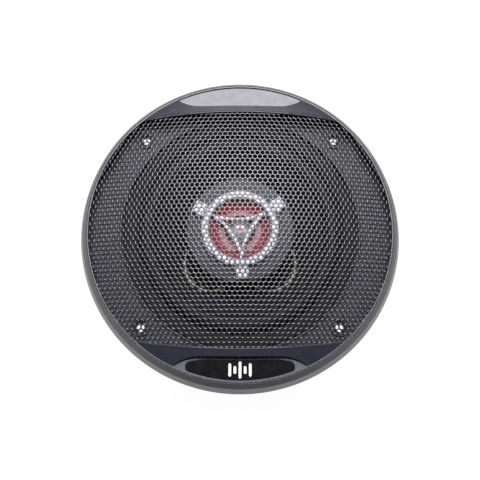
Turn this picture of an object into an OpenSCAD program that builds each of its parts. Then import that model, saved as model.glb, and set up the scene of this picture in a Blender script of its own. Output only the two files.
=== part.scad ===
// Coaxial car speaker: a 6.5 inch woofer with a post-mounted tweeter and a clip-on perforated grille.
// Millimetres. Z = 0 is the panel face that the mounting flange sits on, +Z points out of the front,
// and the badge is on the -Y side.

/* [Grille] */
// Outer diameter of the grille trim, at the panel
grille_d = 180; // [178:1:186]
// Radius of the shallow ball that the grille mesh is pressed to
mesh_ball_r = 300; // [280:10:360]
// Height of the top of the mesh above the panel
mesh_top_z = 23.3; // [22.5:0.1:25]
// Sheet thickness of the grille mesh
mesh_t = 0.8; // [0.6:0.1:1]
// Distance from the centre to the straight edge of the mesh, along Y
mesh_half_y = 66.8; // [65:0.2:67.4]
// Number of bars in the mark on the badge
badge_bars = 5; // [3:2:7]

/* [Mounting] */
// Diameter of the circle that the mounting screws stand on
screw_circle_d = 154; // [152:1:156]
// Diameter of each mounting hole
screw_hole_d = 4.4; // [4:0.1:5.4]
// Diameter of the basket where it passes through the panel
spigot_d = 129; // [127:0.5:130]
// Sheet thickness of the flange
flange_t = 1.2; // [1:0.1:1.4]

/* [Basket] */
// Number of windows between the basket's arms
window_count = 6; // [4:1:8]
// Width of each basket arm
arm_w = 12; // [9:1:15]

/* [Cone] */
// Radius of the cone at its glued edge
cone_r = 48; // [46:0.5:48]
// Depth of the cone, from its edge to its neck
cone_depth = 14.8; // [13.6:0.2:15]
// Radius of the surround's half roll
roll_r = 4.7; // [4:0.1:5]

/* [Motor] */
// Outer diameter of the ferrite magnet
magnet_d = 80; // [70:1:84]
// Thickness of the ferrite magnet
magnet_t = 13; // [11:0.5:15]
// Thickness of the steel top plate
top_plate_t = 4; // [3:0.5:5]
// Thickness of the steel back plate
back_plate_t = 4.5; // [4:0.5:6]
// Inner radius of the voice coil former
former_r = 12.75; // [12.6:0.05:12.9]

/* [Tweeter] */
// Outer radius of the housing that carries the tweeter
housing_r = 30.5; // [29:0.5:32]
// Outer radius of the bright guard ring
guard_r = 21.8; // [21:0.2:23]
// Radius of the tweeter dome
dome_r = 6.7; // [6.5:0.1:6.9]
// Turn of the tweeter about its post, in degrees
tweeter_turn = 3; // [0:1:6]

/* [Hidden] */
$fn = 96;
eps = 0.01;      // overlap that makes two shapes one solid
far = 300;       // longer than anything here, for cutting shapes

// Colours
black_paint = [0.05, 0.05, 0.055];
charcoal = [0.24, 0.25, 0.28];
dark_plastic = [0.1, 0.1, 0.11];
steel = [0.62, 0.62, 0.64];
ferrite = [0.16, 0.16, 0.17];
bright = [0.85, 0.86, 0.88];
red = [0.62, 0.05, 0.08];
copper = [0.72, 0.38, 0.2];
cloth = [0.78, 0.68, 0.42];
black_rubber = [0.04, 0.04, 0.045];

// Heights of the motor, from the basket's floor down
floor_t = 1;
floor_top = -28;
motor_top = floor_top - floor_t;
magnet_top = motor_top - top_plate_t;
magnet_bottom = magnet_top - magnet_t;
back_z = magnet_bottom - back_plate_t;
post_seat_z = back_z + 4;

// Basket, radii and heights of the stamped profile
spigot_r = spigot_d / 2;
flange_r = 75;
ear_r = screw_circle_d / 2 + 5.5;
ear_half_w = 8;
ledge_r = 57.6;
ledge_top = -1;
shoulder = [55.5, -9];
spider_ledge_r = 42;
spider_ledge_top = -18.5;
sheet = 1;
floor_r = 31.5;
floor_hole_r = 15;
rivet_circle_r = 24;
rivet_count = 4;
window_in_r = 43.6;
window_out_r = 54.6;
window_round = 2.5;
first_window = 30;

// Cone, surround and spider
cone_edge_z = -2.2;
cone_t = 0.6;
cone_edge_flat = 1.8;
neck_r = former_r + 0.25;
neck_z = cone_edge_z - cone_depth;
roll_centre_r = 52.5;
surround_t = 0.7;
rim_out_r = 63;
coil_r = former_r + 0.2;
winding_t = 0.5;
winding_length = 9;
gap_r = 13.75;
pole_r = 12.4;
spider_out_r = 37.4;
spider_waves = 5;
spider_t = 0.5;

// Post and tweeter
post_r = 4.2;
post_bore_r = 1.8;
housing_top = 7.4;
cup_r = 19;
cup_wall = 1.6;
cup_floor = -5;
yoke_in_r = 7;
yoke_out_r = 11.2;
yoke_bottom = -3.3;
tweeter_gap_top = 3.1;
guard_in_r = 17;
guard_top = 11.2;
lug_w = 7.4;
lug_end_r = 28.8;
bar_sag_r = 5.4;
bar_w = 1.9;

// Terminal board, on the -Y side
board_w = 32;
board_in = -35.5;
board_out = -55.4;
board_t = 1.6;
board_top = spider_ledge_top - sheet - 0.05;
tab_x = 9;
rivet_y = -45.4;
board_rivet = [5, -39.6];
wire_r = 0.65;
tinsel_r = 0.7;

// Grille, radii and heights
trim_r = grille_d / 2;
lip_r = trim_r - 6;
lip_top = 12.25;
cheek_top_z = mesh_top_z + 0.9;
mesh_r = trim_r - 4.4;
mesh_tuck = 3;
mesh_rim_low = 7.6;
edge_arc_r = 381.5;
recess_floor = 11.4;
recess_bottom = recess_floor - 1.6;
recess_y = 71.2;
recess_flat_x = 22;
recess_corner_r = 22;
base_in_r = 66.8;
base_out_r = trim_r - 3.1;
base_top = 3.4;

// ---------------------------------------------------------------- helpers

// Points of an arc about [cx, cy], from angle a0 to a1
function arc(cx, cy, r, a0, a1, steps) =
    [for (i = [0:steps]) let (a = a0 + (a1 - a0) * i / steps) [cx + r * cos(a), cy + r * sin(a)]];

module ring(r_out, r_in, z0, z1) {
    translate([0, 0, z0]) difference() {
        cylinder(r = r_out, h = z1 - z0);
        translate([0, 0, -1]) cylinder(r = r_in, h = z1 - z0 + 2);
    }
}

module around(count, start = 0) {
    for (i = [0:count - 1]) rotate([0, 0, start + 360 * i / count]) children();
}

// A flat shape in the XY plane, drawn out from z0 to z1
module slab(z0, z1) {
    translate([0, 0, z0]) linear_extrude(z1 - z0) children();
}

// A ball of the grille's curvature whose top is at the given height
module dome_ball(top_z, r = mesh_ball_r) {
    translate([0, 0, top_z - r]) sphere(r = r, $fn = 200);
}

// Catmull-Rom curve through a list of points
function spline_point(p0, p1, p2, p3, t) =
    0.5 * (2 * p1 + (p2 - p0) * t + (2 * p0 - 5 * p1 + 4 * p2 - p3) * t * t
        + (3 * p1 - p0 - 3 * p2 + p3) * t * t * t);
function spline(p, steps) = let (n = len(p)) [
    for (i = [0:n - 2], k = [0:steps - 1])
        spline_point(p[max(i - 1, 0)], p[i], p[i + 1], p[min(i + 2, n - 1)], k / steps),
    p[n - 1]
];

function unit(v) = v / norm(v);
function tangent(p, i) = unit(p[min(i + 1, len(p) - 1)] - p[max(i - 1, 0)]);

// A round tube of radius r along the points of a curve, as one polyhedron
module tube(curve, r, sides = 8) {
    n = len(curve);
    // The first ring's side vector is carried along the curve, so that the rings never twist
    function carried(i) = i == 0
        ? let (t = tangent(curve, 0), s = abs(t.z) < 0.9 ? [0, 0, 1] : [1, 0, 0]) unit(cross(t, s))
        : let (t = tangent(curve, i), v = carried(i - 1)) unit(v - t * (v * t));
    rings = [for (i = [0:n - 1]) let (t = tangent(curve, i), u = carried(i), v = cross(t, u))
        [for (k = [0:sides - 1]) curve[i] + r * (cos(360 * k / sides) * u + sin(360 * k / sides) * v)]];
    points = [for (ring_points = rings) each ring_points];
    walls = [for (i = [0:n - 2], k = [0:sides - 1]) let (a = i * sides, b = a + sides, m = (k + 1) % sides)
        each [[a + k, b + k, b + m], [a + k, b + m, a + m]]];
    first = [[for (k = [0:sides - 1]) k]];
    last = [[for (k = [sides - 1:-1:0]) (n - 1) * sides + k]];
    polyhedron(points = points, faces = concat(walls, first, last), convexity = 6);
}

// ---------------------------------------------------------------- basket and motor

// Plan shape of one basket window, about the +X axis
module window_shape() {
    half_in = (360 / window_count - 2 * asin(arm_w / 2 / window_in_r)) / 2;
    half_out = (360 / window_count - 2 * asin(arm_w / 2 / window_out_r)) / 2;
    offset(r = window_round, $fn = 24) offset(delta = -window_round) polygon(concat(
        arc(0, 0, window_out_r, -half_out, half_out, 10),
        arc(0, 0, window_in_r, half_in, -half_in, 8)));
}

// Half section of the stamped sheet: flange, ledge, bowl, spider ledge, well and floor
module basket_section() {
    polygon([
        [flange_r, 0], [flange_r, flange_t], [spigot_r - sheet, flange_t],
        [spigot_r - sheet, ledge_top], [ledge_r - sheet, ledge_top], [shoulder.x - sheet, shoulder.y],
        [spider_ledge_r, spider_ledge_top], [floor_r + 2, spider_ledge_top], [floor_r, floor_top],
        [floor_hole_r, floor_top], [floor_hole_r, floor_top - floor_t], [floor_r + sheet, floor_top - floor_t],
        [floor_r + 2 + sheet, spider_ledge_top - sheet], [spider_ledge_r + 0.4, spider_ledge_top - sheet],
        [shoulder.x, shoulder.y - 0.4], [ledge_r, ledge_top - flange_t],
        [spigot_r, ledge_top - flange_t], [spigot_r, 0],
    ]);
}

// Half section of the raised rib that stiffens the outside of an arm
module arm_rib_section() {
    rib_h = 1.4;
    polygon([
        [spider_ledge_r - 1, spider_ledge_top - sheet], [shoulder.x, shoulder.y - 0.4],
        [shoulder.x + 0.6, shoulder.y + 3], [shoulder.x + rib_h, shoulder.y],
        [shoulder.x + rib_h * 0.9, shoulder.y - rib_h], [spider_ledge_r + 1.4, spider_ledge_top - sheet - rib_h],
        [spider_ledge_r - 1.2, spider_ledge_top - sheet - rib_h],
    ]);
}

module ear_shape() {
    intersection() {
        circle(r = ear_r);
        translate([0, -ear_half_w]) square([ear_r, 2 * ear_half_w]);
    }
}

module basket() {
    color(black_paint) difference() {
        union() {
            rotate_extrude() basket_section();
            around(window_count, first_window + 180 / window_count) intersection() {
                rotate_extrude() arm_rib_section();
                slab(-30, 0) translate([30, -2]) square([40, 4]);
            }
            around(4, 45) slab(0, flange_t) difference() {
                ear_shape();
                circle(r = flange_r - 2);
            }
        }
        around(window_count, first_window) slab(-27, -4) window_shape();
        around(4, 45) translate([screw_circle_d / 2, 0, -1]) cylinder(d = screw_hole_d, h = flange_t + 2);
        around(rivet_count, 45) translate([rivet_circle_r, 0, motor_top - 1]) cylinder(r = 2.05, h = 4);
        for (side = [-1, 1]) translate([side * board_rivet.x, board_rivet.y, board_top - 1])
            cylinder(r = 1.05, h = 4);
    }
}

module basket_rivets() {
    color(steel) around(rivet_count, 45) translate([rivet_circle_r, 0, 0]) {
        translate([0, 0, motor_top - 1.9]) cylinder(r = 2, h = 1.9 + floor_t + eps);
        translate([0, 0, floor_top]) cylinder(r1 = 3.2, r2 = 2.4, h = 0.9);
    }
}

module top_plate() {
    color(steel) difference() {
        translate([0, 0, magnet_top]) cylinder(r = 36, h = top_plate_t);
        translate([0, 0, magnet_top - 1]) cylinder(r = gap_r, h = top_plate_t + 2);
        around(rivet_count, 45) translate([rivet_circle_r, 0, motor_top - 2]) cylinder(r = 2.05, h = 3);
    }
}

module magnet() {
    bevel = 0.8;
    in_r = 17.5;
    out_r = magnet_d / 2;
    color(ferrite) rotate_extrude() polygon([
        [in_r, magnet_bottom], [out_r - bevel, magnet_bottom], [out_r, magnet_bottom + bevel],
        [out_r, magnet_top - bevel], [out_r - bevel, magnet_top], [in_r, magnet_top],
    ]);
}

module yoke() {
    plate_r = magnet_d / 2 - 2;
    pole_top = motor_top + 0.6;
    color(steel) difference() {
        union() {
            translate([0, 0, back_z]) cylinder(r = plate_r, h = back_plate_t);
            translate([0, 0, magnet_bottom - eps]) cylinder(r = pole_r, h = pole_top - magnet_bottom);
        }
        translate([0, 0, back_z - 1]) cylinder(r = post_r + 0.15, h = 40);
        translate([0, 0, back_z - 1]) cylinder(r = 9.5, h = post_seat_z - back_z + 1);
        translate([-1.9, -plate_r - 1, back_z - 1]) cube([3.8, plate_r - 7, 3]);
    }
}

module front_gasket() {
    color([0.13, 0.13, 0.13]) rotate_extrude() polygon([
        [58.6, ledge_top + surround_t], [63, ledge_top + surround_t], [63.2, flange_t + 0.05],
        [66.3, flange_t + 0.05], [66.3, 2.6], [65.6, 3.2], [59.6, 3.2], [58.6, 2.4],
    ]);
}

// ---------------------------------------------------------------- cone assembly

// Height of the cone's front at radius r: the neck is steeper than the edge
function cone_z(r) = let (s = (r - neck_r) / (cone_r - cone_edge_flat - neck_r))
    neck_z + (cone_edge_z - neck_z) * (1.18 * s - 0.18 * s * s);

module cone() {
    steps = 16;
    radii = [for (i = [0:steps]) neck_r + (cone_r - cone_edge_flat - neck_r) * i / steps];
    color(black_paint) rotate_extrude() polygon(concat(
        [[neck_r, neck_z - 0.6]],
        [for (r = radii) [r, cone_z(r)]],
        [[cone_r, cone_edge_z], [cone_r, cone_edge_z - cone_t]],
        [for (i = [steps:-1:0]) [radii[i] + (i == 0 ? cone_t : 0), cone_z(radii[i]) - cone_t]]));
}

module surround() {
    inner = roll_centre_r - roll_r;
    outer = roll_centre_r + roll_r;
    skin = surround_t;
    color(black_rubber) rotate_extrude() polygon(concat(
        [[rim_out_r, ledge_top], [rim_out_r, ledge_top + skin - 0.05]],
        arc(roll_centre_r, ledge_top, roll_r + skin, 7, 180, 20),
        [[inner - skin, cone_edge_z + skin], [cone_r - cone_edge_flat, cone_edge_z + skin],
            [cone_r - cone_edge_flat, cone_edge_z + 0.05], [inner, cone_edge_z + 0.05]],
        arc(roll_centre_r, ledge_top, roll_r, 180, 0, 20)));
}

module dust_ring() {
    color([0.1, 0.1, 0.1]) ring(former_r - 0.05, 5, neck_z + 0.1, neck_z + 0.8);
}

former_top = neck_z + 1;
former_length = 21;
winding_mid = motor_top - top_plate_t / 2;

module coil_former() {
    color([0.8, 0.6, 0.25]) ring(coil_r, former_r, former_top - former_length, former_top);
}

module coil_winding() {
    color(copper) ring(coil_r + winding_t, coil_r + 0.01,
        winding_mid - winding_length / 2, winding_mid + winding_length / 2);
}

// The spider's middle height at radius r, in concentric waves between its flat neck and rim
function spider_z(r) = let (r0 = neck_r + 1.5, r1 = spider_out_r - 4.4, s = (r - r0) / (r1 - r0))
    spider_ledge_top + spider_t / 2 + 0.05 + (s <= 0 || s >= 1 ? 0 : 0.9 * sin(360 * spider_waves * s));

module spider() {
    steps = 70;
    radii = [for (i = [0:steps]) neck_r + (spider_out_r - neck_r) * i / steps];
    color(cloth) rotate_extrude() polygon(concat(
        [for (r = radii) [r, spider_z(r) + spider_t / 2]],
        [for (i = [steps:-1:0]) [radii[i], spider_z(radii[i]) - spider_t / 2]]));
}

eyelet_y = -30;

module cone_eyelets() {
    r = norm([tab_x, eyelet_y]);
    color(bright) for (side = [-1, 1])
        translate([side * tab_x, eyelet_y, cone_z(r) - cone_t - 1.5]) cylinder(r = 1.4, h = 0.8);
}

// ---------------------------------------------------------------- terminals and leads

// Route of the braided lead on the +X side, from its rivet up to the cone's eyelet
tinsel_route = [
    [9, -45.4, -18.1], [9, -45.4, -16.4], [9, -44.4, -14], [9, -42, -12.6], [9, -39.2, -12.9],
    [9, -36.6, -14], [9, -33.8, -14.6], [9, -31.4, -13.8], [9, -30.1, -12], [9, -30, -10.5],
];

module tinsel_lead(side) {
    color(copper) tube([for (p = spline(tinsel_route, 4)) [side * p.x, p.y, p.z]], tinsel_r);
}

module tinsel_lead_pos() { tinsel_lead(1); }
module tinsel_lead_neg() { tinsel_lead(-1); }

module terminal_board() {
    corner = 2;
    color(dark_plastic) slab(board_top - board_t, board_top) difference() {
        union() {
            translate([-board_w / 2, board_out]) square([board_w, 13.2]);
            translate([-board_w / 2 + 4, board_out + 10]) square([board_w - 8, board_in - board_out - 10]);
        }
        for (side = [-1, 1]) {
            translate([side * tab_x, rivet_y]) circle(r = 1.05);
            translate([side * board_rivet.x, board_rivet.y]) circle(r = 1.05);
            translate([side * board_w / 2, board_out]) circle(r = corner);
        }
    }
}

// A blade terminal: flat eye under the rivet, then a blade that points outwards
module terminal(x, blade_w) {
    blade_t = 0.8;
    z = board_top + 0.02;
    color(bright) difference() {
        union() {
            translate([x - 2.6, -56, z]) cube([5.2, 12.6, blade_t]);
            translate([x - blade_w / 2, -62.8, z]) cube([blade_w, 8, blade_t]);
        }
        translate([x, rivet_y, z - 1]) cylinder(r = 1.05, h = 3);
        translate([x, -59.8, z - 1]) cylinder(r = 0.8, h = 3);
    }
}

module terminal_pos() { terminal(tab_x, 4.8); }
module terminal_neg() { terminal(-tab_x, 2.8); }

module rivet(at, z_top, z_low, head_r) {
    head_h = 0.5;
    translate([at.x, at.y, 0]) {
        translate([0, 0, z_low - eps]) cylinder(r = 1, h = z_top - z_low + 2 * eps);
        translate([0, 0, z_top]) cylinder(r = head_r, h = head_h);
        translate([0, 0, z_low - head_h]) cylinder(r = head_r, h = head_h);
    }
}

// Two rivets hold the terminals on the board, and two hold the board under the spider's ledge
module terminal_rivets() {
    below = board_top - board_t - 0.02;
    color(steel) for (side = [-1, 1]) {
        rivet([side * tab_x, rivet_y], board_top + 0.85, below, 1.9);
        rivet([side * board_rivet.x, board_rivet.y], spider_ledge_top + 0.02, below, 1.5);
    }
}

cap_r = 4;
cap_length = 17;
cap_y = -49.2;
cap_z = board_top - board_t - 0.1 - cap_r;

module capacitor() {
    groove = 0.35;
    color([0.1, 0.16, 0.42]) translate([-cap_length / 2, cap_y, cap_z]) rotate([0, 90, 0])
        rotate_extrude() polygon([
            [0, 0], [cap_r - 0.4, 0], [cap_r, 0.4], [cap_r, cap_length - 3], [cap_r - groove, cap_length - 2.6],
            [cap_r - groove, cap_length - 2], [cap_r, cap_length - 1.6], [cap_r, cap_length - 0.4],
            [cap_r - 0.4, cap_length], [0, cap_length],
        ]);
}

// The capacitor's two bare leads: one up to the terminal's rivet, the other out to the tweeter wire
cap_lead_up = [
    [8.5, -49.2, -25.25], [10.4, -49.2, -25.2], [11.6, -48.6, -24.4], [11.8, -47.2, -23], [11.2, -46.2, -22.2],
    [10.2, -45.8, -22.05],
];
cap_lead_out = [
    [-8.5, -49.2, -25.25], [-9.8, -49.2, -25.25], [-10.9, -48.6, -25.5], [-11.4, -47.2, -26.1],
];

module capacitor_leads() {
    color(bright) for (route = [cap_lead_up, cap_lead_out]) tube(spline(route, 3), 0.35, 6);
}

// Route of a tweeter wire: from the tweeter's tag down under its pot, down the post, out through the
// back plate's groove and up beside the magnet. The two wires mirror each other in X as far as that.
wire_down = [
    [12.6, 1.4, 3], [12.8, 1.4, 0], [12.7, 1.3, -2.8], [11.6, 1.1, -4.1], [8, 0.9, -4.25], [3, 0.8, -4.25],
    [1.2, 0.4, -4.7], [0.8, 0, -6.4], [0.8, 0, -14], [0.8, 0, -30], [0.8, 0, -44], [0.8, 0, -46.5],
    [0.8, -0.5, -48.6], [0.8, -2.2, -49.6], [0.8, -8, -49.6], [0.8, -22, -49.6], [0.8, -34, -49.6],
    [0.8, -38.4, -49.5], [0.8, -40.6, -48.4], [0.8, -41, -46], [0.8, -41, -38],
];
wire_end_pos = [
    [0.8, -41, -33], [1.6, -41.6, -29.6], [4, -42.6, -27.8], [8, -42.6, -27.2], [10.6, -43.4, -26.8],
    [11.4, -45, -26.4], [11.4, -47, -26.2],
];
wire_end_neg = [
    [0.8, -41, -33], [0.8, -41.3, -29.5], [0.4, -41.8, -26.2], [-2, -42.4, -23.8], [-5.6, -42.8, -22.7],
    [-8, -43.6, -22.45], [-9, -44.7, -22.4],
];

module tweeter_wire(end, side) {
    whole = concat(wire_down, end);
    tube([for (p = spline(whole, 3)) [side * p.x, p.y, p.z]], wire_r);
}

module tweeter_wire_pos() { color(red) tweeter_wire(wire_end_pos, -1); }
module tweeter_wire_neg() { color(black_rubber) tweeter_wire(wire_end_neg, 1); }

// ---------------------------------------------------------------- post and tweeter

module post() {
    collar_r = 8.6;
    collar_z = motor_top + 0.65;
    boss_r = 7.5;
    color(dark_plastic) difference() {
        union() {
            translate([0, 0, post_seat_z - 2.4]) cylinder(r = post_r, h = cup_floor - cup_wall - 0.05 - post_seat_z + 2.4);
            translate([0, 0, collar_z]) cylinder(r1 = collar_r, r2 = post_r, h = 3.5);
            translate([0, 0, cup_floor - cup_wall - 3.05]) cylinder(r1 = post_r, r2 = boss_r, h = 3);
        }
        translate([0, 0, back_z]) cylinder(r = post_bore_r, h = 60);
    }
}

module post_washer() {
    color(steel) ring(8.4, post_r + 0.1, post_seat_z - 0.65, post_seat_z - 0.02);
}

module post_nut() {
    across_corners_r = 6.6;
    color(steel) difference() {
        translate([0, 0, post_seat_z - 2.3]) cylinder(r = across_corners_r, h = 1.6, $fn = 6);
        translate([0, 0, back_z]) cylinder(r = post_r + 0.02, h = 6);
    }
}

module tweeter_housing() {
    dish_low = 5.4;
    inner = guard_in_r + 0.3;
    color(charcoal) difference() {
        union() {
            rotate_extrude() polygon([
                [0, cup_floor - cup_wall], [cup_r - 2, cup_floor - cup_wall], [cup_r, cup_floor - cup_wall + 2],
                [cup_r, dish_low - 1.5], [cup_r + 2, dish_low], [housing_r - 0.6, dish_low - 0.8],
                [housing_r, dish_low - 0.2], [housing_r, 6.2], [housing_r - 0.9, 6.9],
                [guard_r + 1.2, housing_top], [inner, housing_top], [inner, cup_floor], [0, cup_floor],
            ]);
            around(3, 90) translate([7, -0.75, cup_floor - eps]) cube([3, 1.5, yoke_bottom - cup_floor - 0.02]);
        }
        translate([0, 0, -12]) cylinder(r = post_bore_r, h = 12);
    }
}

module tweeter_yoke() {
    color(steel) difference() {
        translate([0, 0, yoke_bottom]) cylinder(r = yoke_out_r, h = tweeter_gap_top - yoke_bottom);
        translate([0, 0, tweeter_gap_top - 1.6]) cylinder(r = yoke_in_r, h = 5);
        translate([0, 0, yoke_bottom + 2]) cylinder(r = yoke_out_r - 1.6, h = tweeter_gap_top - 3.6 - yoke_bottom);
    }
}

module tweeter_magnet() {
    color([0.55, 0.56, 0.58]) translate([0, 0, yoke_bottom + 2.02]) cylinder(r = 6, h = 2.76);
}

module tweeter_pole_plate() {
    color(steel) translate([0, 0, tweeter_gap_top - 1.6]) cylinder(r = 6.1, h = 1.6);
}

module tweeter_coil() {
    color(copper) ring(6.6, 6.3, 1.9, 4.1);
}

module tweeter_dome() {
    rise = 2.8;
    ball = (dome_r * dome_r + rise * rise) / (2 * rise);
    skin = 0.15;
    base = 4.12;
    color([0.8, 0.8, 0.82]) intersection() {
        translate([0, 0, base + rise - ball]) difference() {
            sphere(r = ball);
            sphere(r = ball - skin);
        }
        translate([0, 0, base]) cylinder(r = 10, h = 10);
    }
}

module tweeter_surround() {
    color([0.8, 0.8, 0.82]) rotate_extrude() intersection() {
        translate([7.55, 4.14]) difference() {
            circle(r = 0.8);
            circle(r = 0.65);
        }
        translate([5, 4.14]) square([6, 3]);
    }
}

// A ring that clamps the tweeter's surround, with a tag on each side for its wires
module tweeter_clamp_ring() {
    low = tweeter_gap_top + 0.02;
    color(dark_plastic) union() {
        ring(yoke_out_r, 8.4, low, 4.5);
        for (side = [0, 1]) mirror([side, 0, 0]) translate([yoke_out_r - 1, 0.4, low]) cube([3.2, 2, 0.4]);
    }
}

module tweeter_waveguide() {
    wall = 0.9;
    inner = 8.6;
    outer = guard_in_r - 0.6;
    low = 4.55;
    depth = 1.3;
    // A shallow trough that rises to the rim
    function trough(r) = let (s = (r - inner) / (outer - inner)) low + wall + 1.9 * pow(s, 2.2) - depth * s * (1 - s);
    radii = [for (i = [0:12]) inner + (outer - inner) * i / 12];
    color(red) rotate_extrude() polygon(concat(
        [for (r = radii) [r, trough(r)]],
        [[outer + 0.5, trough(outer) - 0.4], [outer + 0.5, low + 0.4], [outer - 2, low], [yoke_out_r + 0.3, low - 0.9],
            [yoke_out_r + 0.3, 4.55], [inner, 4.55]]));
}

// The guard's three bars: each runs from lug to lug, bowed towards the middle
module guard_bars() {
    half = 60;
    reach = guard_in_r + 1.4;
    chord_half = guard_in_r * sin(half);
    sag = guard_in_r * cos(half) - bar_sag_r;
    bow_r = (chord_half * chord_half + sag * sag) / (2 * sag);
    intersection() {
        circle(r = reach);
        around(3, 90) translate([bar_sag_r + bow_r, 0]) difference() {
            circle(r = bow_r + bar_w / 2);
            circle(r = bow_r - bar_w / 2);
        }
    }
}

module tweeter_guard() {
    ring_low = housing_top + 0.05;
    color(bright) rotate([0, 0, tweeter_turn]) union() {
        rotate_extrude() polygon(concat(
            [[guard_in_r, ring_low], [guard_r, ring_low]],
            arc(guard_r - 0.8, guard_top - 0.8, 0.8, 0, 90, 4),
            arc(guard_in_r + 1.2, guard_top - 1.2, 1.2, 90, 180, 5)));
        around(3, 30) slab(ring_low, guard_top - 0.5) translate([guard_r - 1, -lug_w / 2])
            square([lug_end_r - guard_r + 1, lug_w]);
        slab(guard_top - 3, guard_top - 1.4) guard_bars();
    }
}

// ---------------------------------------------------------------- grille

module grille_base_ring() {
    color(charcoal) difference() {
        union() {
            ring(base_out_r, base_in_r, flange_t + 0.05, base_top);
            ring(base_out_r, base_out_r - 2.4, 0, flange_t + 0.1);
            ring(base_in_r + 1.4, base_in_r, base_top - eps, base_top + 1.2);
            around(4, 45) translate([screw_circle_d / 2, 0, base_top - eps]) cylinder(r = 5, h = 0.9);
            around(4, 22.5) snap_tab();
            around(4, 67.5) snap_tab();
        }
        around(4, 45) {
            translate([screw_circle_d / 2, 0, -1]) cylinder(d = screw_hole_d, h = 8);
            translate([screw_circle_d / 2, 0, base_top - 0.6]) cylinder(r1 = screw_hole_d / 2, r2 = screw_hole_d / 2 + 1.6, h = 1.6);
        }
    }
}

// An upright finger that the trim's wall clicks onto
module snap_tab() {
    finger_in = trim_r - 5.6;
    finger_out = trim_r - 4.1;
    intersection() {
        ring(finger_out, finger_in, base_top - eps, 7);
        slab(0, 10) translate([finger_in - 4, -5]) square([10, 10]);
    }
}

// Plan shape outside the mesh's straight edge, on the +Y side, moved outwards by the given amount
module beyond_edge(out = 0) {
    difference() {
        translate([-far / 2, 0]) square([far, far / 2]);
        translate([0, mesh_half_y + out - edge_arc_r]) circle(r = edge_arc_r, $fn = 200);
    }
}

module cheek_shape(out = 0) {
    intersection() {
        circle(r = lip_r + 1.4);
        beyond_edge(out);
    }
}

// Plan shape of the flat-floored recess: a straight edge whose ends curl out to the lip
module recess_shape() {
    c = recess_y + recess_corner_r;
    a = -45;
    intersection() {
        circle(r = lip_r);
        polygon(concat(
            arc(recess_flat_x, c, recess_corner_r, -90, a, 5),
            [[50, far / 2], [-50, far / 2]],
            arc(-recess_flat_x, c, recess_corner_r, -180 - a, -90, 5)));
    }
}

module both_ends() {
    children();
    mirror([0, 1, 0]) children();
}

// Half section of the trim: flared skirt, rounded shoulder, sloping face and inner lip
module trim_section() {
    polygon(concat(
        [[trim_r - 1.7, 0], [trim_r, 0], [trim_r, 0.8]],
        arc(trim_r - 4.2, 7, 2.2, 14, 38, 3),
        arc(lip_r + 0.8, lip_top - 0.75, 0.75, 45, 135, 4),
        [[lip_r, lip_top - 0.5], [lip_r, 11.4], [lip_r + 1.9, 11], [lip_r + 1.9, 8.6]]));
}

module grille_trim() {
    color(charcoal) difference() {
        union() {
            rotate_extrude() trim_section();
            both_ends() intersection() {
                dome_ball(cheek_top_z);
                slab(recess_bottom, 30) cheek_shape();
            }
        }
        both_ends() {
            // Room for the mesh's tucked edge
            intersection() {
                dome_ball(mesh_top_z + 0.1);
                slab(0, 30) difference() {
                    cheek_shape(-1);
                    beyond_edge(mesh_tuck + 0.2);
                    difference() {
                        circle(r = far);
                        circle(r = mesh_r + 0.1);
                    }
                }
            }
            slab(recess_floor, 30) recess_shape();
        }
    }
}

module mesh_plan() {
    difference() {
        circle(r = mesh_r);
        both_ends() beyond_edge(mesh_tuck);
    }
}

module grille_mesh() {
    color([0.12, 0.12, 0.13]) intersection() {
        slab(mesh_rim_low, 30) mesh_plan();
        union() {
            difference() {
                dome_ball(mesh_top_z);
                dome_ball(mesh_top_z - mesh_t, mesh_ball_r - mesh_t);
                translate([0, 0, -far]) cube([2 * far, 2 * far, 2 * far + 16], center = true);
            }
            ring(mesh_r + 1, mesh_r - mesh_t, mesh_rim_low, 10.6);
        }
    }
}

// Plan shape of the badge: straight inner edge, outer edge that follows the lip, rounded ends
module badge_shape() {
    flat_half = 21;
    badge_half = 29;
    inner_y = recess_y + 0.8;
    corner = 2.3;
    offset(r = corner, $fn = 32) offset(delta = -corner) intersection() {
        circle(r = lip_r - 0.8);
        polygon([
            [-flat_half, inner_y], [flat_half, inner_y], [badge_half - 1.8, inner_y + 1.1],
            [badge_half, inner_y + 2.7], [badge_half, 100], [-badge_half, 100],
            [-badge_half, inner_y + 2.7], [-badge_half + 1.8, inner_y + 1.1],
        ]);
    }
}

badge_top = recess_floor + 1.05;

module badge_plate() {
    color([0.02, 0.02, 0.022]) mirror([0, 1, 0]) slab(recess_floor + 0.05, badge_top) badge_shape();
}

// A generic mark: a row of round-ended bars, tallest in the middle, with every second one short
module badge_mark() {
    pitch = 2.7;
    bar = 1.5;
    tallest = 3.7;
    shortest = 1.3;
    color([0.95, 0.95, 0.95]) for (i = [0:badge_bars - 1]) {
        step = i - (badge_bars - 1) / 2;
        half = abs(step) % 2 == 1 ? shortest : tallest - 0.5 * abs(step);
        slab(badge_top, badge_top + 0.12) translate([step * pitch, -78]) {
            square([bar, 2 * half], center = true);
            for (end = [-1, 1]) translate([0, end * half]) circle(d = bar, $fn = 24);
        }
    }
}

// ---------------------------------------------------------------- the parts

basket();
basket_rivets();
top_plate();
magnet();
yoke();
front_gasket();
cone();
surround();
dust_ring();
coil_former();
coil_winding();
spider();
cone_eyelets();
tinsel_lead_pos();
tinsel_lead_neg();
terminal_board();
terminal_pos();
terminal_neg();
terminal_rivets();
capacitor();
capacitor_leads();
tweeter_wire_pos();
tweeter_wire_neg();
post();
post_washer();
post_nut();
tweeter_housing();
tweeter_yoke();
tweeter_magnet();
tweeter_pole_plate();
tweeter_coil();
tweeter_dome();
tweeter_surround();
tweeter_clamp_ring();
tweeter_waveguide();
tweeter_guard();
grille_base_ring();
grille_trim();
grille_mesh();
badge_plate();
badge_mark();
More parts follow.
